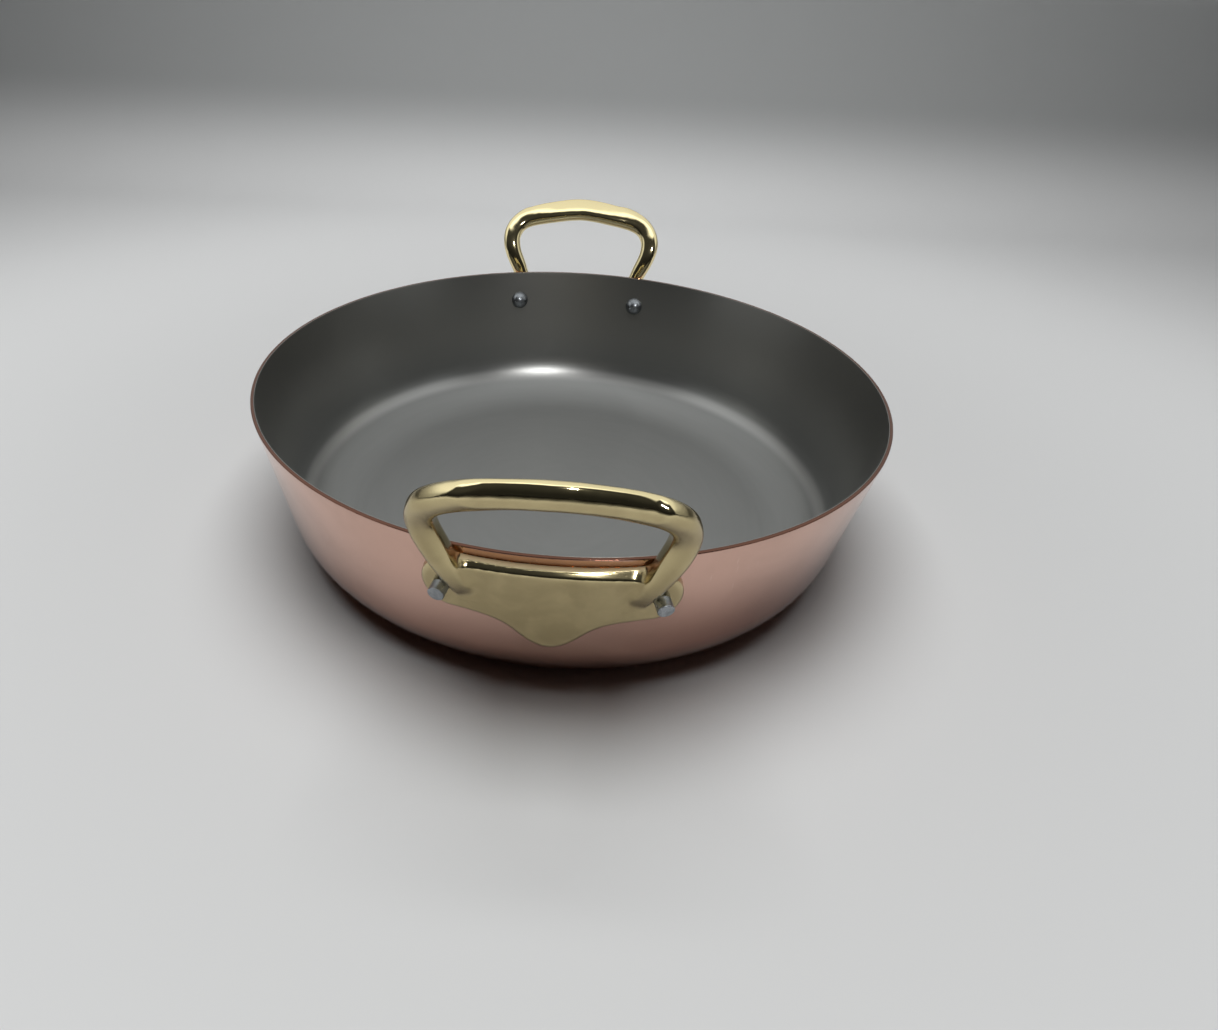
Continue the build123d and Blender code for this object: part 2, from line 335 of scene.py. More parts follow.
grain, grain_in, grain_out = new_group(
    "spun_grain", "ShaderNodeTree",
    [("Vector", VECTOR, None), ("Rings", FLOAT, 1500.0), ("Run", FLOAT, 2.0)],
    [("Fine", FLOAT), ("Broad", FLOAT)])
place = parts_of(grain, grain_in.outputs["Vector"])
radius = reckon(grain, "MAXIMUM", off_axis(grain, place), 0.001)
run_x = times(grain, reckon(grain, "DIVIDE", place["X"], radius), grain_in.outputs["Run"])
run_y = times(grain, reckon(grain, "DIVIDE", place["Y"], radius), grain_in.outputs["Run"])
ringed = times(grain, reckon(grain, "ADD", radius, place["Z"]), grain_in.outputs["Rings"])
fine_place = add(grain, "ShaderNodeCombineXYZ", X=run_x, Y=run_y, Z=ringed).outputs[0]
fine = add(grain, "ShaderNodeTexNoise", Vector=fine_place, Scale=1.0, Detail=3.0, Roughness=0.65)
slower = times(grain, ringed, BROAD_SHARE)
broad_place = add(grain, "ShaderNodeCombineXYZ", X=run_x, Y=run_y, Z=slower).outputs[0]
broad = add(grain, "ShaderNodeTexNoise", Vector=broad_place, Scale=1.0, Detail=2.0, Roughness=0.5)
grain.links.new(fine.outputs[0], grain_out.inputs["Fine"])
grain.links.new(broad.outputs[0], grain_out.inputs["Broad"])

# %% Handling film
SCUFF_TURN = (0.5, 0.3, 0.6)
SCUFF_STRETCH = (900.0, 60.0, 60.0)
SCUFF_SPAN, SCUFFED_PATCH_SPAN = (0.68, 0.74), (0.56, 0.64)

film, film_in, film_out = new_group(
    "handling_film", "ShaderNodeTree",
    [("Vector", VECTOR, None), ("Size", FLOAT, 0.04)],
    [("Cloud", FLOAT), ("Scuffs", FLOAT)])
spread = reckon(film, "DIVIDE", 1.0, film_in.outputs["Size"])
cloud = add(film, "ShaderNodeTexNoise", Vector=film_in.outputs["Vector"], Scale=spread, Detail=5.0,
            Roughness=0.55, Distortion=0.4)
slanted = add(film, "ShaderNodeMapping", Vector=film_in.outputs["Vector"], Rotation=SCUFF_TURN,
              Scale=SCUFF_STRETCH)
scuff = add(film, "ShaderNodeTexNoise", Vector=slanted.outputs[0], Scale=1.0, Detail=1.0)
scuffed = add(film, "ShaderNodeTexNoise", Vector=film_in.outputs["Vector"], Scale=60.0, Detail=2.0)
scuffs = times(film, span(film, scuff.outputs[0], *SCUFF_SPAN),
               span(film, scuffed.outputs[0], *SCUFFED_PATCH_SPAN))
film.links.new(cloud.outputs[0], film_out.inputs["Cloud"])
film.links.new(scuffs, film_out.inputs["Scuffs"])

# %% Cast skin
SWELL_HEIGHT = 2.0
PIT_DEPTH = 0.8
RARE_PIT = 0.8

skin, skin_in, skin_out = new_group(
    "cast_skin", "ShaderNodeTree",
    [("Vector", VECTOR, None), ("Grain Size", FLOAT, 0.0009)],
    [("Rise", FLOAT)])
packed = reckon(skin, "DIVIDE", 1.0, skin_in.outputs["Grain Size"])
sand = add(skin, "ShaderNodeTexNoise", Vector=skin_in.outputs["Vector"], Scale=packed, Detail=4.0,
           Roughness=0.6)
swell = add(skin, "ShaderNodeTexNoise", Vector=skin_in.outputs["Vector"], Scale=180.0, Detail=2.0)
pocks = add(skin, "ShaderNodeTexVoronoi", Vector=skin_in.outputs["Vector"], Scale=700.0)
rare = add(skin, "ShaderNodeSeparateColor", Color=pocks.outputs["Color"]).outputs[0]
pits = times(skin, span(skin, pocks.outputs["Distance"], 0.12, 0.3, 1.0, 0.0),
             reckon(skin, "GREATER_THAN", rare, RARE_PIT))
rise = times_plus(skin, swell.outputs[0], SWELL_HEIGHT, sand.outputs[0])
skin.links.new(times_plus(skin, pits, -PIT_DEPTH, rise), skin_out.inputs["Rise"])
print("Shared effects:", [group.name for group in bpy.data.node_groups])


# %% New metal
def new_metal(name, roughness):
    """A metal material, its tree, its shader and its Object coordinates."""
    look = bpy.data.materials.new(name)
    look.use_nodes = True
    tree = look.node_tree
    shader = tree.nodes["Principled BSDF"]
    shader.inputs["Metallic"].default_value = 1.0
    shader.inputs["Roughness"].default_value = roughness
    here = tree.nodes.new("ShaderNodeTexCoord").outputs["Object"]
    return look, tree, shader, here


# %% [markdown]
# ## Satin copper
# The outside is brushed to a satin. It has faint rings from the brushing, a cloudy film where hands
# have been, and a few short scuffs. Shade is painted into its colour: dark brown towards the foot and
# low on its right front, where it mirrors the floor's shadow, and a dark line along the rim's top edge.

# %% Satin copper
COPPER_CLEAN = (0.68, 0.44, 0.355)
COPPER_DULL = (0.58, 0.375, 0.30)
COPPER_SCUFFED = (0.95, 0.72, 0.62)
COPPER_RIM_PAINTED_SHADE = (0.17, 0.08, 0.055)
COPPER_PAINTED_SHADE = (0.21, 0.078, 0.048)
COPPER_SCUFF_SHARE = 0.35
RIGHT_SHADE_SHARE = 0.80
COPPER_ROUGHNESS = 0.10
# In metres: where the rim's painted dark line begins, where the painted shade at the foot ends, and the sides
# of the painted shade on the right front
RIM_SHADE_HEIGHTS = (0.0694, 0.0698)
FOOT_SHADE_HEIGHTS = (0.0, 0.042)
RIGHT_SHADE_ACROSS, RIGHT_SHADE_DEEP, RIGHT_SHADE_HEIGHTS = (-0.02, 0.07), (-0.09, -0.02), (0.020, 0.060)

satin_copper, tree, shader, here = new_metal("satin_copper", COPPER_ROUGHNESS)
place = parts_of(tree, here)
rings = use_group(tree, grain, Vector=here, Rings=2600.0, Run=5.0)
hands = use_group(tree, film, Vector=here, Size=0.035)
colour = blend_colours(tree, span(tree, hands.outputs["Cloud"], 0.35, 0.7), COPPER_CLEAN, COPPER_DULL)
scuff_share = times(tree, hands.outputs["Scuffs"], COPPER_SCUFF_SHARE)
colour = blend_colours(tree, scuff_share, colour, COPPER_SCUFFED)
# Painted shade: a dark line along the rim's top edge
colour = blend_colours(tree, span(tree, place["Z"], *RIM_SHADE_HEIGHTS), colour, COPPER_RIM_PAINTED_SHADE)
# Painted shade: dark brown towards the foot and low on the right front, where the copper mirrors the floor's
# shadow
foot = span(tree, place["Z"], *FOOT_SHADE_HEIGHTS, 1.0, 0.0)
right_front_shade = span(tree, place["Z"], *RIGHT_SHADE_HEIGHTS, RIGHT_SHADE_SHARE, 0.0)
right_front_shade = times(tree, right_front_shade, span(tree, place["X"], *RIGHT_SHADE_ACROSS))
right_front_shade = times(tree, right_front_shade, span(tree, place["Y"], *RIGHT_SHADE_DEEP, 1.0, 0.0))
colour = blend_colours(tree, reckon(tree, "MAXIMUM", foot, right_front_shade), colour, COPPER_PAINTED_SHADE)
rough = span(tree, hands.outputs["Cloud"], 0.3, 0.75, COPPER_ROUGHNESS - 0.03, COPPER_ROUGHNESS + 0.06)
rough = times_plus(tree, rings.outputs["Fine"], 0.05, rough)
height = times_plus(tree, hands.outputs["Scuffs"], -0.6, rings.outputs["Fine"])
bump = add(tree, "ShaderNodeBump", Strength=0.035, Distance=0.0001, Height=height)
fill_inputs(tree, shader, Base_Color=colour, Roughness=rough, Normal=bump.outputs[0])

# %% [markdown]
# ## Spun steel
# The lining is grey steel with fine rings all the way round. Its flat is duller than its wall, so it
# stays an even grey, while the wall mirrors the room. A thin lighter line runs round the bend: partly a
# burnished line, partly a painted highlight that brightens the bend's bright ring.

# %% Spun steel
STEEL_CLEAN = (0.222, 0.225, 0.219)
STEEL_DULL = (0.203, 0.207, 0.201)
STEEL_WALL = (0.270, 0.268, 0.252)
STEEL_BURNISH_AND_HIGHLIGHT = (0.36, 0.36, 0.35)
STEEL_FLAT_METAL, STEEL_WALL_METAL = 0.62, 0.92
STEEL_ROUGHNESS, STEEL_WALL_ROUGHNESS = 0.46, 0.27
# In metres: heights over which the flat's finish turns into the wall's, then the sides of the burnished line
# with its painted highlight
COLOUR_HEIGHTS, ROUGH_HEIGHTS, METAL_HEIGHTS = (0.012, 0.045), (0.005, 0.014), (0.006, 0.024)
BURNISH_HIGHLIGHT_FOOT, BURNISH_HIGHLIGHT_HEAD = (0.0100, 0.0135), (0.0145, 0.0180)

spun_steel, tree, shader, here = new_metal("spun_steel", STEEL_ROUGHNESS)
height_now = parts_of(tree, here)["Z"]
rings = use_group(tree, grain, Vector=here, Rings=3200.0, Run=3.0)
hands = use_group(tree, film, Vector=here, Size=0.06)
# A burnished line round the bend, also a painted highlight
burnish_and_highlight = span(tree, height_now, *BURNISH_HIGHLIGHT_FOOT)
burnish_and_highlight = times(tree, burnish_and_highlight, span(tree, height_now, *BURNISH_HIGHLIGHT_HEAD, 1.0, 0.0))
colour = blend_colours(tree, rings.outputs["Broad"], STEEL_CLEAN, STEEL_DULL)
colour = blend_colours(tree, span(tree, height_now, *COLOUR_HEIGHTS), colour, STEEL_WALL)
colour = blend_colours(tree, burnish_and_highlight, colour, STEEL_BURNISH_AND_HIGHLIGHT)
rough = span(tree, height_now, *ROUGH_HEIGHTS, STEEL_ROUGHNESS, STEEL_WALL_ROUGHNESS)
rough = times_plus(tree, rings.outputs["Fine"], 0.06, rough)
rough = times_plus(tree, hands.outputs["Cloud"], 0.04, rough)
metal_share = span(tree, height_now, *METAL_HEIGHTS, STEEL_FLAT_METAL, STEEL_WALL_METAL)
bump = add(tree, "ShaderNodeBump", Strength=0.2, Distance=0.0001, Height=rings.outputs["Fine"])
fill_inputs(tree, shader, Metallic=metal_share, Base_Color=colour, Roughness=rough, Normal=bump.outputs[0])

# %% [markdown]
# ## Cast brass
# The castings were poured in sand and polished by hand. Four attributes of the piece's own points say
# where each finish lies: `polished` is rubbed bright, `proud` corners are rubbed nearly as bright,
# `hollow` places stay dark, and `as_cast` keeps the dull skin of the mould. What none of them marks,
# such as the grip's underside, is a duller satin.

# %% Cast brass
BRASS_BRIGHT = (0.90, 0.77, 0.44)
BRASS_SATIN = (0.39, 0.315, 0.17)
BRASS_CAST = (0.34, 0.27, 0.16)
BRASS_DARK = (0.10, 0.055, 0.025)
PROUD_SHARE = 0.5
OXIDE_SHARE = 0.75
# For polished brass, then what a full satin and the mould's skin each add: roughness, and lift of the bump
BRASS_ROUGHNESS, SATIN_ROUGHNESS, CAST_ROUGHNESS = 0.045, 0.17, 0.3
BRASS_LIFT, SATIN_LIFT, CAST_LIFT = 0.03, 0.35, 1.6


def marked(tree, name):
    """The value that an attribute of the points has at this place."""
    return add(tree, "ShaderNodeAttribute", {"attribute_name": name}).outputs["Fac"]


cast_brass, tree, shader, here = new_metal("cast_brass", 0.2)
hollow, proud, polished, as_cast = (marked(tree, name) for name in ("hollow", "proud", "polished", "as_cast"))
cast = use_group(tree, skin, Vector=here, Grain_Size=0.0009)
hands = use_group(tree, film, Vector=here, Size=0.012)
satin = reckon(tree, "SUBTRACT", 1.0, polished)
satin = reckon(tree, "MULTIPLY_ADD", proud, -PROUD_SHARE, satin, clamp=True)
satin = times(tree, satin, span(tree, hands.outputs["Cloud"], 0.3, 0.6, 0.85, 1.0))
colour = blend_colours(tree, satin, BRASS_BRIGHT, BRASS_SATIN)
colour = blend_colours(tree, as_cast, colour, BRASS_CAST)
colour = blend_colours(tree, span(tree, hollow, 0.35, 0.9), colour, BRASS_DARK)
rough = times_plus(tree, satin, SATIN_ROUGHNESS, BRASS_ROUGHNESS)
rough = times_plus(tree, as_cast, CAST_ROUGHNESS, rough)
rough = times_plus(tree, hands.outputs["Cloud"], 0.05, rough)
lift = times_plus(tree, as_cast, CAST_LIFT, times_plus(tree, satin, SATIN_LIFT, BRASS_LIFT))
lift = times(tree, cast.outputs["Rise"], lift)
bump = add(tree, "ShaderNodeBump", Strength=0.5, Distance=0.00012, Height=lift)
oxide = times_plus(tree, as_cast, -OXIDE_SHARE, 1.0)
fill_inputs(tree, shader, Metallic=oxide, Base_Color=colour, Roughness=rough, Normal=bump.outputs[0])

# %% [markdown]
# ## Rivet steel
# The rivets are plain bright steel with a fine handled film.

# %% Rivet steel
RIVET_CLEAN = (0.34, 0.36, 0.38)
RIVET_DULL = (0.24, 0.255, 0.27)
RIVET_SMOOTH, RIVET_ROUGH = 0.24, 0.38

rivet_steel, tree, shader, here = new_metal("rivet_steel", 0.27)
hands = use_group(tree, film, Vector=here, Size=0.004)
cast = use_group(tree, skin, Vector=here, Grain_Size=0.0006)
colour = blend_colours(tree, span(tree, hands.outputs["Cloud"], 0.35, 0.65), RIVET_CLEAN, RIVET_DULL)
rough = span(tree, hands.outputs["Cloud"], 0.3, 0.7, RIVET_SMOOTH, RIVET_ROUGH)
bump = add(tree, "ShaderNodeBump", Strength=0.2, Distance=0.00008, Height=cast.outputs["Rise"])
fill_inputs(tree, shader, Base_Color=colour, Roughness=rough, Normal=bump.outputs[0])
print("Metals:", [look.name for look in bpy.data.materials])

# %% [markdown]
# ## A lathe in Geometry Nodes
# Both sheets and all four rivets are turned shapes. A lathe needs only the half section: a line in the
# XZ plane that starts and ends on the axis. Each point's radius says how much its corner is rounded.
# The tree rounds the corners, sweeps the line round a tiny circle, closes the poles, and sets the
# finished shape in its place.

# %% Lathe tree
CORE_RADIUS = 0.001
MERGE_REACH = 0.000002

lathe, lathe_in, lathe_out = new_group(
    "lathe", "GeometryNodeTree",
    [("Section", "NodeSocketGeometry", None), ("Segments", "NodeSocketInt", 64),
     ("Corner Steps", "NodeSocketInt", 6), ("Place", VECTOR, None), ("Turn", "NodeSocketRotation", None),
     ("Finish", "NodeSocketMaterial", None)],
    [("Shape", "NodeSocketGeometry")])
rounding = lathe.nodes.new("GeometryNodeInputRadius").outputs[0]
rounded = add(lathe, "GeometryNodeFilletCurve", {"mode": "POLY"}, Curve=lathe_in.outputs["Section"],
              Count=lathe_in.outputs["Corner Steps"], Radius=rounding)
upright = add(lathe, "GeometryNodeTransform", Geometry=rounded.outputs[0],
              Rotation=(math.radians(90), 0, 0), Translation=(-CORE_RADIUS, 0, 0))
round_path = add(lathe, "GeometryNodeCurvePrimitiveCircle", Resolution=lathe_in.outputs["Segments"],
                 Radius=CORE_RADIUS)
standing = add(lathe, "GeometryNodeSetCurveNormal", {"mode": "Z_UP"}, Curve=round_path.outputs[0])
turned_shape = add(lathe, "GeometryNodeCurveToMesh", Curve=standing.outputs[0],
                   Profile_Curve=upright.outputs[0])
closed = add(lathe, "GeometryNodeMergeByDistance", Geometry=turned_shape.outputs[0], Distance=MERGE_REACH)
smooth = add(lathe, "GeometryNodeSetShadeSmooth", Geometry=closed.outputs[0])
placed = add(lathe, "GeometryNodeTransform", Geometry=smooth.outputs[0],
             Translation=lathe_in.outputs["Place"], Rotation=lathe_in.outputs["Turn"])
real = add(lathe, "GeometryNodeRealizeInstances", Geometry=placed.outputs[0])
finished = add(lathe, "GeometryNodeSetMaterial", Geometry=real.outputs[0],
               Material=lathe_in.outputs["Finish"])
lathe.links.new(finished.outputs[0], lathe_out.inputs["Shape"])
lathe_sockets = {item.name: item.identifier for item in lathe.interface.items_tree if item.in_out == "INPUT"}
print("Lathe inputs:", sorted(lathe_sockets))


# %% Turning a piece
def section_curve(name, points):
    """A poly curve in the XZ plane from (radius, height, corner rounding) triples, in metres."""
    curve = bpy.data.curves.new(name, "CURVE")
    curve.dimensions = "3D"
    spline = curve.splines.new("POLY")
    spline.points.add(len(points) - 1)
    for point, (out, height, rounding) in zip(spline.points, points):
        point.co = (out, 0.0, height, 1.0)
        point.radius = rounding
    holder = bpy.data.objects.new(name, curve)
    scene.collection.objects.link(holder)
    return holder


def turn_piece(name, points, material, node, segments, corner_steps, place=(0, 0, 0), turn=(0, 0, 0)):
    """Runs the lathe on the section and keeps the result as a plain mesh that stands for the node."""
    holder = section_curve(name + "_section", points)
    work = holder.modifiers.new("lathe", "NODES")
    work.node_group = lathe
    values = {"Segments": segments, "Corner Steps": corner_steps, "Place": place, "Turn": turn,
              "Finish": material}
    for key, value in values.items():
        work[lathe_sockets[key]] = value
    shape = holder.evaluated_get(bpy.context.evaluated_depsgraph_get())
    mesh = bpy.data.meshes.new_from_object(shape)
    mesh.name = name
    bpy.data.objects.remove(holder)
    piece = bpy.data.objects.new(name, mesh)
    scene.collection.objects.link(piece)
    check = bmesh.new()
    check.from_mesh(mesh)
    if check.calc_volume(signed=True) < 0:
        bmesh.ops.reverse_faces(check, faces=check.faces[:])
    check.to_mesh(mesh)
    print(name, "faces", len(mesh.polygons), "volume mm3", round(check.calc_volume() * 1e9))
    check.free()
    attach(piece, "root")
    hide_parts(node)


# %% [markdown]
# ## The two sheets
# The copper is 1.2 mm thick and the steel lining 0.3 mm. Both have the same section line, one a
# sheet's thickness inside the other: a flat, a round bend, and a straight wall that leans outwards.
# A point just before and just after each bend keeps the smooth shading of the flat and the wall clean.

# %% Section line
RIM_RADIUS, _, DISH_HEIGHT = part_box("copper_body")[1]
FLAT_RADIUS = 92.5 * MM
BEND_RADIUS = 28.5 * MM
COPPER_THICKNESS = 1.2 * MM
SHEET_THICKNESS = 1.5 * MM
AFTER_BEND = 0.3 * MM
FLAT_SHARES, WALL_SHARES = (0.0, 0.1, 0.35, 0.65, 0.9, 0.99), (0.0, 0.3, 0.65)

run = RIM_RADIUS - FLAT_RADIUS
climb = DISH_HEIGHT - BEND_RADIUS
reach = math.hypot(run, climb)
WALL_ANGLE = math.atan2(climb, run) - math.acos(BEND_RADIUS / reach)
WALL_OUT = (math.cos(WALL_ANGLE), math.sin(WALL_ANGLE))
WALL_LEAN = -WALL_OUT[1] / WALL_OUT[0]
print("Wall leans out", round(math.degrees(math.atan(WALL_LEAN)), 2), "degrees")


def wall_radius(height, depth=0.0):
    """Radius of the wall's surface at that height, depth inwards from the outer surface."""
    return RIM_RADIUS - (DISH_HEIGHT - height) * WALL_LEAN - depth / WALL_OUT[0]


def sheet_line(depth, top):
    """Section points from the axis, round the bend, and up the wall to the top."""
    bend = BEND_RADIUS - depth
    after = (FLAT_RADIUS + bend * WALL_OUT[0], BEND_RADIUS + bend * WALL_OUT[1])
    after = (after[0] + AFTER_BEND * WALL_LEAN, after[1] + AFTER_BEND)
    flat = [(share * FLAT_RADIUS, depth, 0.0) for share in FLAT_SHARES]
    wall = [(after[0] + (wall_radius(top, depth) - after[0]) * share,
             after[1] + (top - after[1]) * share, 0.0) for share in WALL_SHARES]
    return flat + [(wall_radius(depth, depth), depth, bend)] + wall


# %% Copper body and steel lining
RIM_ROUNDING = 0.35 * MM
LIP_ROUNDING = 0.12 * MM
SHOULDER = 1.2 * MM
SHEET_SEGMENTS, SHEET_CORNER_STEPS = 288, 14


def sheet_section(outer_depth, inner_depth, outer_rounding, inner_rounding):
    """Closed half section of one sheet, its rim's corners rounded."""
    below_rim = DISH_HEIGHT - SHOULDER
    rim = [
        (wall_radius(below_rim, outer_depth), below_rim, 0.0),
        (wall_radius(DISH_HEIGHT, outer_depth), DISH_HEIGHT, outer_rounding),
        (wall_radius(DISH_HEIGHT, inner_depth), DISH_HEIGHT, inner_rounding),
        (wall_radius(below_rim, inner_depth), below_rim, 0.0),
    ]
    return sheet_line(outer_depth, below_rim) + rim + sheet_line(inner_depth, below_rim)[::-1]


copper_section = sheet_section(0.0, COPPER_THICKNESS, RIM_ROUNDING, LIP_ROUNDING)
turn_piece("copper_dish", copper_section, satin_copper, "copper_body",
           SHEET_SEGMENTS, SHEET_CORNER_STEPS)
steel_section = sheet_section(COPPER_THICKNESS, SHEET_THICKNESS, LIP_ROUNDING, LIP_ROUNDING)
turn_piece("steel_dish_lining", steel_section, spun_steel, "steel_lining",
           SHEET_SEGMENTS, SHEET_CORNER_STEPS)

# %% [markdown]
# ## Rivets
# Each rivet has a domed head on the lining, a shank through both sheets and the plate, and a short
# stub outside, cut off flat with a broken edge. The four are the same section, turned and then set
# square to the wall by the lathe's own Place and Turn inputs.

# %% Rivet sizes
RIVET_ACROSS = 32.6 * MM
RIVET_HEIGHT = 54.8 * MM
SHANK_RADIUS = 2.7 * MM
STUB_TOP = 8.0 * MM
STUB_EDGE = 0.35 * MM
HEAD_RADIUS = 4.6 * MM
HEAD_HEIGHT = 3.2 * MM
HEAD_SINK = 0.15 * MM
HEAD_EDGE = 0.1 * MM
DOME_STEPS = 14
RIVET_SEGMENTS, RIVET_CORNER_STEPS = 48, 5

# %% Rivet section
base = -SHEET_THICKNESS + HEAD_SINK
dome_radius = (HEAD_RADIUS ** 2 + HEAD_HEIGHT ** 2) / (2 * HEAD_HEIGHT)
dome_centre = -SHEET_THICKNESS - HEAD_HEIGHT + dome_radius
widest = math.asin(min(1.0, HEAD_RADIUS / dome_radius))
rivet_line = []
for step in range(DOME_STEPS + 1):
    angle = widest * step / DOME_STEPS
    rivet_line.append((dome_radius * math.sin(angle), dome_centre - dome_radius * math.cos(angle), 0.0))
rivet_line += [
    (HEAD_RADIUS, base, HEAD_EDGE),
    (SHANK_RADIUS, base, 0.0),
    (SHANK_RADIUS, STUB_TOP - 1.5 * STUB_EDGE, 0.0),
    (SHANK_RADIUS, STUB_TOP, STUB_EDGE),
    (SHANK_RADIUS - 1.5 * STUB_EDGE, STUB_TOP, 0.0),
    (0.0, STUB_TOP, 0.0),
]
print("Rivet section points:", len(rivet_line))

# %% Four rivets
foot_radius = wall_radius(RIVET_HEIGHT)
half_spread = math.asin(RIVET_ACROSS / foot_radius)
for end, end_turn in (("front", 0.0), ("rear", math.pi)):
    for side, sign in (("left", -1), ("right", 1)):
        around = sign * half_spread + end_turn
        outward = Vector((math.sin(around), -math.cos(around), 0.0))
        square = Vector((WALL_OUT[0] * outward.x, WALL_OUT[0] * outward.y, WALL_OUT[1]))
        seat = Vector((foot_radius * outward.x, foot_radius * outward.y, RIVET_HEIGHT))
        facing = square.to_track_quat("Z", "Y").to_euler()
        node_side = side if end == "front" else {"left": "right", "right": "left"}[side]
        node = f"{end}_{node_side}_rivet"
        turn_piece(node + "_turned", rivet_line, rivet_steel, node,
                   RIVET_SEGMENTS, RIVET_CORNER_STEPS, tuple(seat), tuple(facing))

# %% [markdown]
# ## The castings
# A sand casting has no sharp corners: metal fills the mould softly, and filing and polishing round it
# further. Lofts and booleans can't melt one form into the next, so the casting is described by a
# distance: for any point, how far it is outside the bar and outside the plate. Taking the smaller of
# the two joins them, and softening the crease runs the legs into the plate. An even mesh of the CAD
# handle is then pulled onto that surface. The rear handle is the front one turned half round.

# %% Bar line
PLATE_THICKNESS = 4.2 * MM
PLATE_TOP = 67.0 * MM
PLATE_TIP = 31.0 * MM
PLATE_HALF_WIDTH = 40.0 * MM
WINDOW_CENTRE = np.array([0.0, -134.0, 77.0]) * MM
BAR_STEPS = 280


def off_wall(across, height, off):
    """A point in front of the wall at that place, off by that distance, for the front handle."""
    return (across, -(math.sqrt(wall_radius(height) ** 2 - across ** 2) + off), height)


# Right half, from the tail sunk in the plate up to the middle of the grip
BAR_HALF = [
    off_wall(23.8 * MM, 48.6 * MM, -4.2 * MM),
    off_wall(25.4 * MM, 52.2 * MM, -0.9 * MM),
    off_wall(31.6 * MM, 67.4 * MM, 4.7 * MM),
    (37.3 * MM, -134.0 * MM, 84.5 * MM),
    (34.6 * MM, -138.8 * MM, 92.4 * MM),
    (18.0 * MM, -143.2 * MM, 99.4 * MM),
]
BAR_MIDDLE = (0.0, -145.2 * MM, 101.7 * MM)


def smooth_line(points, steps):
    """Points along the natural cubic spline through the given points, evenly spaced in its parameter."""
    knots = np.concatenate([[0.0], np.cumsum(np.linalg.norm(np.diff(points, axis=0), axis=1))])
    gaps = np.diff(knots)
    size = len(points)
    system = np.eye(size)
    target = np.zeros((size, 3))
    for index in range(1, size - 1):
        before, after = gaps[index - 1], gaps[index]
        system[index, index - 1:index + 2] = before, 2 * (before + after), after
        step_after = (points[index + 1] - points[index]) / after
        target[index] = 6 * (step_after - (points[index] - points[index - 1]) / before)
    bend = np.linalg.solve(system, target)
    places = np.linspace(0, knots[-1], steps)
    which = np.clip(np.searchsorted(knots, places) - 1, 0, size - 2)
    gap = gaps[which][:, None]
    right_part = (places - knots[which])[:, None] / gap
    left_part = 1 - right_part
    curved = (left_part ** 3 - left_part) * bend[which] + (right_part ** 3 - right_part) * bend[which + 1]
    return left_part * points[which] + right_part * points[which + 1] + curved * gap ** 2 / 6


half = np.array(BAR_HALF)
other_half = half * (-1, 1, 1)
bar_line = smooth_line(np.vstack([other_half, [BAR_MIDDLE], half[::-1]]), BAR_STEPS)
bar_along = np.gradient(bar_line, axis=0)
bar_step = np.linalg.norm(bar_along, axis=1)
bar_along /= bar_step[:, None]
print("Bar length mm:", round(bar_step.sum() / MM, 1))

# %% Bar sections
# Share of the way from the tail to the middle of the grip, then half width, half depth, turn towards
# the dish in degrees, and how square the section is.
BAR_SECTIONS = np.array([
    (0.00, 4.0, 3.8, 0.0, 2.6),
    (0.36, 4.3, 3.8, 0.0, 2.8),
    (0.50, 4.5, 3.6, 0.0, 2.7),
    (0.61, 4.7, 3.5, 2.0, 2.4),
    (0.70, 5.6, 3.6, 10.0, 2.4),
    (0.81, 6.4, 3.8, 19.0, 2.4),
    (0.90, 6.9, 3.9, 23.0, 2.4),
    (1.00, 7.0, 3.9, 25.0, 2.4),
])
SMOOTHED_STEPS = 15

share = 1 - np.abs(np.linspace(-1, 1, BAR_STEPS))
bar_width, bar_depth, bar_turn, bar_square = (
    np.interp(share, BAR_SECTIONS[:, 0], BAR_SECTIONS[:, column]) for column in (1, 2, 3, 4))
kernel = np.hanning(2 * SMOOTHED_STEPS + 1)
for values in (bar_width, bar_depth, bar_turn, bar_square):
    padded_values = np.pad(values, SMOOTHED_STEPS, mode="edge")
    values[:] = np.convolve(padded_values, kernel / kernel.sum(), mode="valid")
away = bar_line - WINDOW_CENTRE
away -= bar_along * np.einsum("ij,ij->i", away, bar_along)[:, None]
away /= np.linalg.norm(away, axis=1)[:, None]
beside = np.cross(bar_along, away)
turn_angle = np.radians(bar_turn)[:, None]
broad_way = away * np.cos(turn_angle) + beside * np.sin(turn_angle)
thin_way = np.cross(bar_along, broad_way)
front_way = -np.cross((0.0, 0.0, 1.0), bar_along)
front_way /= np.linalg.norm(front_way, axis=1)[:, None]
up_way = np.cross(front_way, bar_along)
print("Bar width mm:", round(2 * bar_width.min(), 1), "to", round(2 * bar_width.max(), 1))


# %% Soft joins
def soft_least(first, second, reach):
    """The smaller distance, with the crease between the two filled over that reach."""
    overlap = np.maximum(reach - np.abs(first - second), 0) / reach
    return np.minimum(first, second) - overlap ** 2 * reach / 4


def soft_most(first, second, reach):
    """The larger distance, with the edge between the two rounded over that reach."""
    return -soft_least(-first, -second, reach)


def ease(value, low, high):
    """Nought below low, one above high, and smooth between them."""
    part_way = np.clip((value - low) / (high - low), 0, 1)
    return part_way * part_way * (3 - 2 * part_way)


# %% Distance outside the bar
LEG_CUT_LOW = (28.2 * MM, 67.0 * MM)
LEG_CUT_HIGH = (33.2 * MM, 88.0 * MM)
LEG_CUT_SLOPE = (LEG_CUT_HIGH[0] - LEG_CUT_LOW[0]) / (LEG_CUT_HIGH[1] - LEG_CUT_LOW[1])
LEG_CUT_CORNER = 4.0 * MM
LEG_EDGE = 1.0 * MM
# Each facet: how far it looks up, how far off the bar's line it lies, and how soft its edges are
GRIP_FACETS = [(math.radians(30), 4.0 * MM, 2.0 * MM), (math.radians(2), 3.6 * MM, 1.0 * MM)]
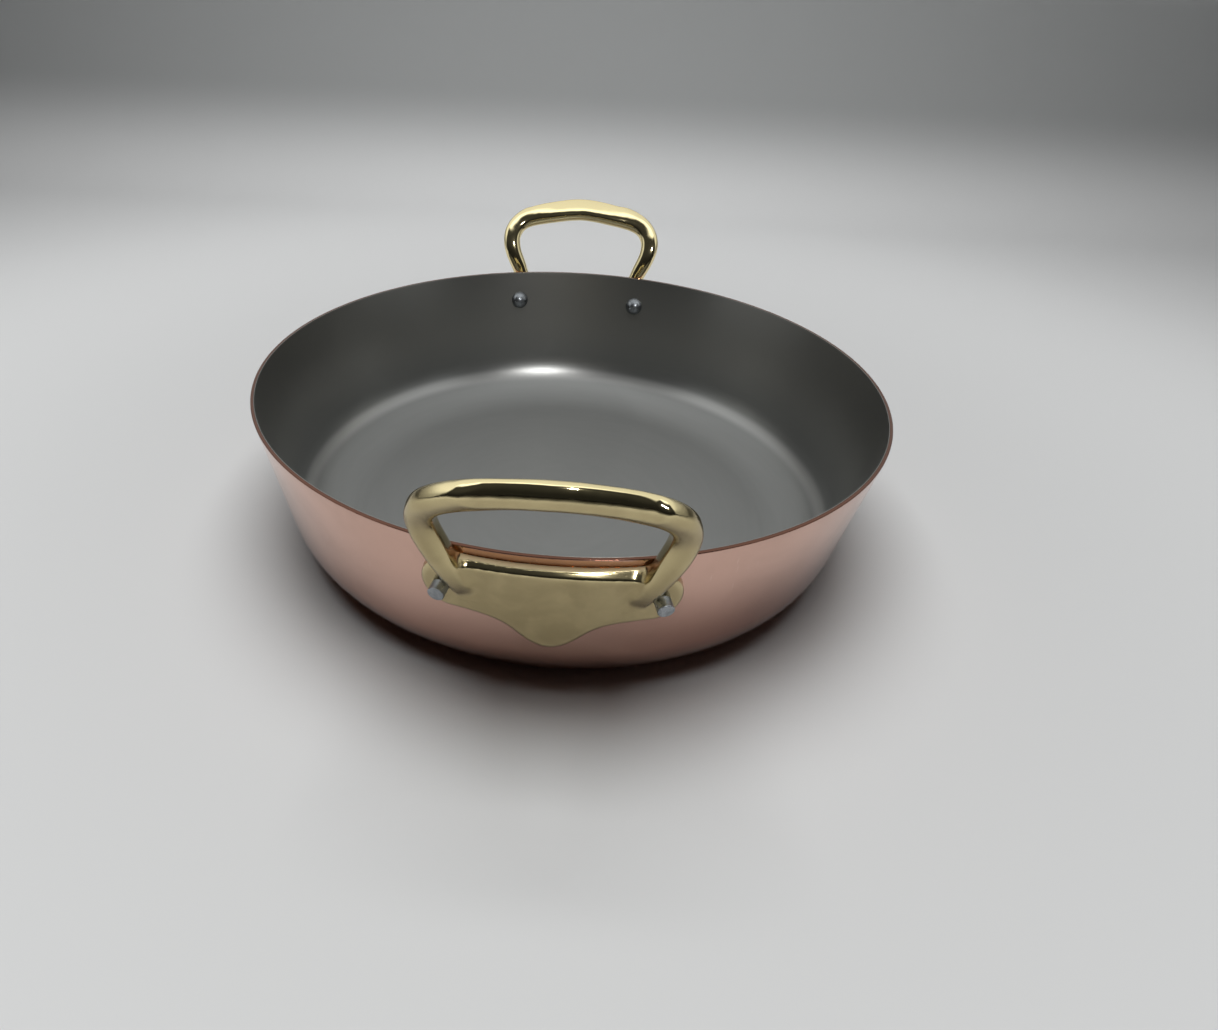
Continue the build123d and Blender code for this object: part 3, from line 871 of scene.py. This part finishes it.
# Where the facets run out, to the right, to the left and downwards, and how far off the bar they end
FACET_RIGHT, FACET_LEFT, FACET_LOW = (27 * MM, 35 * MM), (18 * MM, 31 * MM), (86 * MM, 92 * MM)
FACET_RUN_OUT = 4.0 * MM
BLOCK = 8192


def nearest_steps(points):
    """For each point, the index of the nearest step of the bar's line."""
    found = np.empty(len(points), dtype=np.int64)
    line32 = bar_line.astype(np.float32)
    for start in range(0, len(points), BLOCK):
        block = points[start:start + BLOCK].astype(np.float32)
        gaps = block[:, None, :] - line32[None, :, :]
        found[start:start + BLOCK] = np.argmin(np.einsum("ijk,ijk->ij", gaps, gaps), axis=1)
    return found


def outside_bar(points, nearest):
    """Distance outside the bar, below nought inside it."""
    offset = points - bar_line[nearest]
    past = np.einsum("ij,ij->i", offset, bar_along[nearest])
    beyond = np.clip(nearest + np.sign(past).astype(int), 0, BAR_STEPS - 1)
    part_way = np.clip(np.abs(past) / bar_step[nearest], 0, 1)

    def between(values):
        share_now = part_way if values.ndim == 1 else part_way[:, None]
        return values[nearest] * (1 - share_now) + values[beyond] * share_now

    broad = np.einsum("ij,ij->i", offset, between(broad_way)) / (between(bar_width) * MM)
    thin = np.einsum("ij,ij->i", offset, between(thin_way)) / (between(bar_depth) * MM)
    power = between(bar_square)
    size = (np.abs(broad) ** power + np.abs(thin) ** power) ** (1 / power)
    reach_now = np.sqrt(np.maximum(broad ** 2 + thin ** 2, 1e-9))
    actual = np.sqrt((broad * between(bar_width)) ** 2 + (thin * between(bar_depth)) ** 2) * MM
    bar = (size - 1) / np.maximum(size, 0.2) * actual * np.minimum(1, size / reach_now + 0.2)
    ends = (nearest == 0) | (nearest == BAR_STEPS - 1)
    bar = np.where(ends, np.maximum(bar, np.abs(past) - bar_step[nearest]), bar)
    # The grip is filed to two soft facets along its outer side, which run out before the shoulders
    beside_grip = np.maximum(ease(points[:, 0], *FACET_RIGHT), ease(-points[:, 0], *FACET_LEFT))
    run_out = np.maximum(beside_grip, 1 - ease(points[:, 2], *FACET_LOW))
    for up_angle, face_off, face_edge in GRIP_FACETS:
        way = between(front_way) * math.cos(up_angle) + between(up_way) * math.sin(up_angle)
        facet = np.einsum("ij,ij->i", offset, way) - face_off - run_out * FACET_RUN_OUT
        bar = soft_most(bar, facet, face_edge)
    # The legs' inner sides are filed flat
    inner = LEG_CUT_LOW[0] + (points[:, 2] - LEG_CUT_LOW[1]) * LEG_CUT_SLOPE
    inside_legs = (np.abs(points[:, 0]) - inner) / math.hypot(1, LEG_CUT_SLOPE)
    opening = soft_most(inside_legs, points[:, 2] - LEG_CUT_HIGH[1], LEG_CUT_CORNER)
    return soft_most(bar, -opening, LEG_EDGE)


# %% Plate outline
# Half of the outline from the tip, as shares of the half width and of the height
OUTLINE_SHARES = [(0.0, 0.0), (0.182, 0.091), (0.345, 0.266), (0.56, 0.361), (0.805, 0.386)]
EAR_SIDE_SHARES = (1.0, 0.653)
EAR_TOP_SHARES = (0.862, 0.93)
TOP_CORNER_SHARES = (0.65, 1.0)
OUTLINE_TOP = 72.0 * MM
LOWER_STEPS, EAR_STEPS = 60, 30


def on_plate(shares):
    """The place, across and up, of shares of the plate's half width and height."""
    return np.array([PLATE_HALF_WIDTH * shares[0], PLATE_TIP + (PLATE_TOP - PLATE_TIP) * shares[1]])


def plate_outline():
    """The right half of the plate's outline as a line of points, from the tip round to the top."""
    mirrored = [(-across, up_share) for across, up_share in OUTLINE_SHARES[:0:-1]]
    knots = np.array([(*on_plate(pair), 0.0) for pair in mirrored + OUTLINE_SHARES])
    lower = smooth_line(knots, 2 * LOWER_STEPS + 1)[LOWER_STEPS:, :2]
    start, side, end = (on_plate(pair) for pair in (OUTLINE_SHARES[-1], EAR_SIDE_SHARES, EAR_TOP_SHARES))
    # Centre of the circle through the ear's three points
    known = np.array([side @ side - start @ start, end @ end - start @ start])
    centre = np.linalg.solve(2 * np.array([side - start, end - start]), known)
    ear_radius = np.linalg.norm(start - centre)
    first = math.atan2(*(start - centre)[::-1])
    last = math.atan2(*(end - centre)[::-1])
    ear = [centre + ear_radius * np.array([math.cos(angle), math.sin(angle)])
           for angle in np.linspace(first, last, EAR_STEPS)]
    top_corner = on_plate(TOP_CORNER_SHARES)
    return np.vstack([lower, ear, [top_corner, (top_corner[0], OUTLINE_TOP), (0.0, OUTLINE_TOP)]])


right_outline = plate_outline()
left_outline = right_outline[::-1] * (-1, 1)
outline = np.vstack([right_outline, left_outline])
print("Outline points:", len(outline), "half width mm", round(outline[:, 0].max() / MM, 2))

# %% Outline distance field
FIELD_CELL = 0.25 * MM
FIELD_HALF_WIDTH = 46 * MM
FIELD_FOOT, FIELD_TOP = 25 * MM, 76 * MM

field_across = np.arange(-FIELD_HALF_WIDTH, FIELD_HALF_WIDTH, FIELD_CELL)
field_height = np.arange(FIELD_FOOT, FIELD_TOP, FIELD_CELL)
grid = np.stack(np.meshgrid(field_across, field_height, indexing="ij"), axis=-1).reshape(-1, 2)
near = np.full(len(grid), 1.0)
inside = np.zeros(len(grid), dtype=bool)
for start, end in zip(outline, np.roll(outline, -1, axis=0)):
    edge = end - start
    length_squared = edge @ edge
    if length_squared < 1e-16:
        continue
    along_edge = np.clip((grid - start) @ edge / length_squared, 0, 1)
    near = np.minimum(near, np.linalg.norm(grid - start - along_edge[:, None] * edge, axis=1))
    crosses = (start[1] > grid[:, 1]) != (end[1] > grid[:, 1])
    with np.errstate(divide="ignore", invalid="ignore"):
        at = start[0] + (grid[:, 1] - start[1]) / (end[1] - start[1]) * edge[0]
    inside ^= crosses & (grid[:, 0] < at)
outline_field = np.where(inside, -near, near).reshape(len(field_across), len(field_height))
print("Outline field cells:", outline_field.shape)


def outside_outline(across, height):
    """Distance outside the plate's outline, read from the field."""
    column = np.clip((across - field_across[0]) / FIELD_CELL, 0, len(field_across) - 1.001)
    row = np.clip((height - field_height[0]) / FIELD_CELL, 0, len(field_height) - 1.001)
    left, low = column.astype(int), row.astype(int)
    right_share, high_share = column - left, row - low
    lower = outline_field[left, low] * (1 - right_share) + outline_field[left + 1, low] * right_share
    upper = outline_field[left, low + 1] * (1 - right_share) + outline_field[left + 1, low + 1] * right_share
    return lower * (1 - high_share) + upper * high_share


# %% Distance outside the plate and the whole casting
EDGE_ROUNDING = 1.6 * MM
BEVEL_ROUNDING = 0.6 * MM
TOP_ROUNDING = 0.35 * MM
# The bevel's reach, outwards and down, in mm: terms of a curve that is nought at the plate's middle
BEVEL_HALF_LENGTH = 25 * MM
BEVEL_OUT, BEVEL_DOWN = (0.55, 0.35, 1.7), (0.6, 0.4, 1.9)
# The join is deep along the inner side of the legs, above their tails, and shallow elsewhere
SHALLOW_JOIN, DEEP_JOIN = 0.5 * MM, 4.5 * MM
LEG_MIDDLE_OUT, LEG_MIDDLE_HEIGHT, LEG_MIDDLE_SLOPE = 24.6 * MM, 50.5 * MM, 7.0 / 16.9
DEEP_INBOARD, DEEP_HEIGHTS = (-1.5 * MM, 3.0 * MM), (50 * MM, 58 * MM)


def off_sheet(points):
    """How far the points are off the wall's outer surface."""
    return (np.hypot(points[:, 0], points[:, 1]) - wall_radius(points[:, 2])) * WALL_OUT[0]


def outside_plate(points):
    """Distance outside the plate, with its top filed to a bevel that isn't quite even."""
    off, below_top = off_sheet(points) - PLATE_THICKNESS, points[:, 2] - PLATE_TOP
    filed = points[:, 0] / BEVEL_HALF_LENGTH
    bevel_out, bevel_down = np.polyval(BEVEL_OUT, filed) * MM, np.polyval(BEVEL_DOWN, filed) * MM
    bevel = ((off + bevel_out) * bevel_down + below_top * bevel_out) / np.hypot(bevel_out, bevel_down)
    slab = soft_most(soft_most(off, bevel, BEVEL_ROUNDING), below_top, TOP_ROUNDING)
    return soft_most(slab, outside_outline(points[:, 0], points[:, 2]), EDGE_ROUNDING)


def outside_casting(points, nearest):
    """Distance outside the whole casting: bar and plate softly joined, cut off at the wall."""
    leg_middle = LEG_MIDDLE_OUT + (points[:, 2] - LEG_MIDDLE_HEIGHT) * LEG_MIDDLE_SLOPE
    deep = ease(leg_middle - np.abs(points[:, 0]), *DEEP_INBOARD) * ease(points[:, 2], *DEEP_HEIGHTS)
    reach_now = SHALLOW_JOIN + (DEEP_JOIN - SHALLOW_JOIN) * deep
    casting = soft_least(outside_bar(points, nearest), outside_plate(points), reach_now)
    return np.maximum(casting, -off_sheet(points))


# %% Pulling a mesh onto the casting
CELL = 0.45 * MM
WELD_REACH = 0.002 * MM
PROBE = 0.05 * MM
LONGEST_MOVE = 1.0 * MM


def even_mesh(source):
    """The node's shape, remeshed in even cells."""
    shape = bmesh.new()
    shape.from_mesh(source)
    bmesh.ops.remove_doubles(shape, verts=shape.verts[:], dist=WELD_REACH)
    mesh = bpy.data.meshes.new("even")
    shape.to_mesh(mesh)
    shape.free()
    holder = bpy.data.objects.new("even", mesh)
    scene.collection.objects.link(holder)
    work = holder.modifiers.new("even", "REMESH")
    work.mode = "VOXEL"
    work.voxel_size = CELL
    even = bpy.data.meshes.new_from_object(holder.evaluated_get(bpy.context.evaluated_depsgraph_get()))
    bpy.data.objects.remove(holder)
    return even


def neighbours_mean(points, edges, count):
    """For each point, the middle of the points that it shares an edge with."""
    total = np.stack([
        np.bincount(edges.ravel(), weights=points[edges[:, ::-1].ravel(), axis], minlength=len(points))
        for axis in range(3)], axis=1)
    return total / count[:, None]


def pull_on(points, rounds):
    """Moves the points onto the casting's surface along the slope of its distance."""
    nearest = nearest_steps(points)
    for _ in range(rounds):
        distance = outside_casting(points, nearest)
        rises = [outside_casting(points + probe, nearest) - outside_casting(points - probe, nearest)
                 for probe in PROBE * np.eye(3)]
        slope = np.stack(rises, axis=1) / (2 * PROBE)
        steep = np.maximum(np.einsum("ij,ij->i", slope, slope), 0.2)
        move = -slope * (distance / steep)[:, None]
        length = np.linalg.norm(move, axis=1)
        points = points + move * np.minimum(1, LONGEST_MOVE / np.maximum(length, 1e-9))[:, None]
    return points


def relaxed(points, edges, count, strength=0.5):
    """One round of plain smoothing."""
    return points + (neighbours_mean(points, edges, count) - points) * strength


# %% The casting's own mesh
PULL_ROUNDS = 5

casting_mesh = even_mesh(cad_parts["front_handle"].data)
casting_points = np.empty(len(casting_mesh.vertices) * 3)
casting_mesh.vertices.foreach_get("co", casting_points)
casting_points = casting_points.reshape(-1, 3)
casting_edges = np.empty(len(casting_mesh.edges) * 2, dtype=np.int64)
casting_mesh.edges.foreach_get("vertices", casting_edges)
casting_edges = casting_edges.reshape(-1, 2)
edge_count = np.bincount(casting_edges.ravel(), minlength=len(casting_points)).astype(float)
for _ in range(PULL_ROUNDS):
    casting_points = pull_on(casting_points, 2)
    casting_points = relaxed(casting_points, casting_edges, edge_count)
casting_points = pull_on(casting_points, 3)
casting_points = relaxed(casting_points, casting_edges, edge_count, 0.35)
print("Casting points:", len(casting_points), "left off the surface by, mm:",
      round(float(np.abs(outside_casting(casting_points, nearest_steps(casting_points))).max() / MM), 3))


# %% Hand finish
WAVE_LENGTH, FINE_WAVE_SHARE = 9.0 * MM, 0.35
SHINY_HEIGHTS, SHINY_ACROSS, SHINY_TILT = (80 * MM, 92 * MM), (27 * MM, 36 * MM), (0.02, 0.30)
UNDERSIDE_SHINE, BEVEL_SHINE = 0.15, 0.65
# How high and how steep the plate's bevel is, and how high, wide and level its top is, as it was cast
BEVEL_FOOT, BEVEL_HEAD = (62 * MM, 63 * MM), PLATE_TOP + 0.3 * MM
BEVEL_STEEP, BEVEL_LEVEL = (0.12, 0.25), (0.70, 0.82)
CAST_TOP, CAST_ACROSS, CAST_LEVEL = PLATE_TOP + 0.6 * MM, 27 * MM, (0.75, 0.95)


def hand_waves(points, seed):
    """The slow and the fine unevenness of a surface filed by hand."""
    fine_length = FINE_WAVE_SHARE * WAVE_LENGTH
    return np.array([
        noise.noise(Vector(point / WAVE_LENGTH) + Vector((seed, 0, 0)))
        + FINE_WAVE_SHARE * noise.noise(Vector(point / fine_length) + Vector((0, seed, 0)))
        for point in points])


def hand_polish(points, normals, least):
    """How polished each point is: the top of the grip most, and then the plate's bevel."""
    across, height, tilt = np.abs(points[:, 0]), points[:, 2], normals[:, 2]
    polished = ease(height, *SHINY_HEIGHTS) * (1 - ease(across, *SHINY_ACROSS))
    polished *= UNDERSIDE_SHINE + (1 - UNDERSIDE_SHINE) * ease(tilt, *SHINY_TILT)
    on_bevel = ease(tilt, *BEVEL_STEEP) * (1 - ease(tilt, *BEVEL_LEVEL)) * ease(height, *BEVEL_FOOT)
    on_bevel *= (height < BEVEL_HEAD) * (across < BEVEL_HALF_LENGTH)
    return np.maximum(np.maximum(polished, least), BEVEL_SHINE * on_bevel)


# %% Finishing a casting
BENT_HEIGHTS, SIDE_REACH = (68 * MM, 92 * MM), 38 * MM
WAVE_HEIGHT, WAVE_HEIGHTS, LOW_WAVE_SHARE = 0.10 * MM, (66 * MM, 90 * MM), 0.35
HOLLOW_ROUNDS, HOLLOW_GAIN, PROUD_GAIN = 18, 2.5, 3.0


def finish_casting(name, node, turned, shift, widen, seed, least_shine):
    """One handle: the casting's mesh with its own small bends and hand finish, standing for its node."""
    mesh = casting_mesh.copy()
    mesh.name = name
    points = casting_points.copy()
    points[:, 0] += ease(points[:, 2], *BENT_HEIGHTS) * (shift + widen * (points[:, 0] / SIDE_REACH))
    mesh.vertices.foreach_set("co", points.ravel())
    mesh.update()
    normals = np.empty(len(points) * 3)
    mesh.vertices.foreach_get("normal", normals)
    normals = normals.reshape(-1, 3)
    polished = hand_polish(points, normals, least_shine)
    height = WAVE_HEIGHT * (LOW_WAVE_SHARE + (1 - LOW_WAVE_SHARE) * ease(points[:, 2], *WAVE_HEIGHTS))
    points += normals * (hand_waves(points, seed) * height)[:, None]
    wide = points
    for _ in range(HOLLOW_ROUNDS):
        wide = relaxed(wide, casting_edges, edge_count)
    sunk = np.einsum("ij,ij->i", wide - points, normals) / MM
    as_cast = ease(normals[:, 2], *CAST_LEVEL) * (points[:, 2] < CAST_TOP)
    as_cast *= np.abs(points[:, 0]) < CAST_ACROSS
    marks = {"hollow": np.clip(HOLLOW_GAIN * sunk, 0, 1), "proud": np.clip(-PROUD_GAIN * sunk, 0, 1),
             "polished": polished, "as_cast": as_cast}
    for attribute, values in marks.items():
        mesh.attributes.new(attribute, "FLOAT", "POINT").data.foreach_set("value", values)
    mesh.vertices.foreach_set("co", points.ravel())
    if turned:
        mesh.transform(Matrix.Rotation(math.pi, 4, "Z"))
    mesh.polygons.foreach_set("use_smooth", np.ones(len(mesh.polygons), dtype=bool))
    mesh.materials.clear()
    mesh.materials.append(cast_brass)
    mesh.update()
    piece = bpy.data.objects.new(name, mesh)
    scene.collection.objects.link(piece)
    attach(piece, "root")
    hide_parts(node)
    print(name, "faces", len(mesh.polygons), "sunk mm", round(sunk.min(), 2), "to", round(sunk.max(), 2))


# %% Both handles
finish_casting("front_handle_casting", "front_handle", turned=False,
               shift=-0.5 * MM, widen=-0.9 * MM, seed=3.7, least_shine=0.0)
finish_casting("rear_handle_casting", "rear_handle", turned=True,
               shift=0.0, widen=1.4 * MM, seed=11.3, least_shine=0.85)
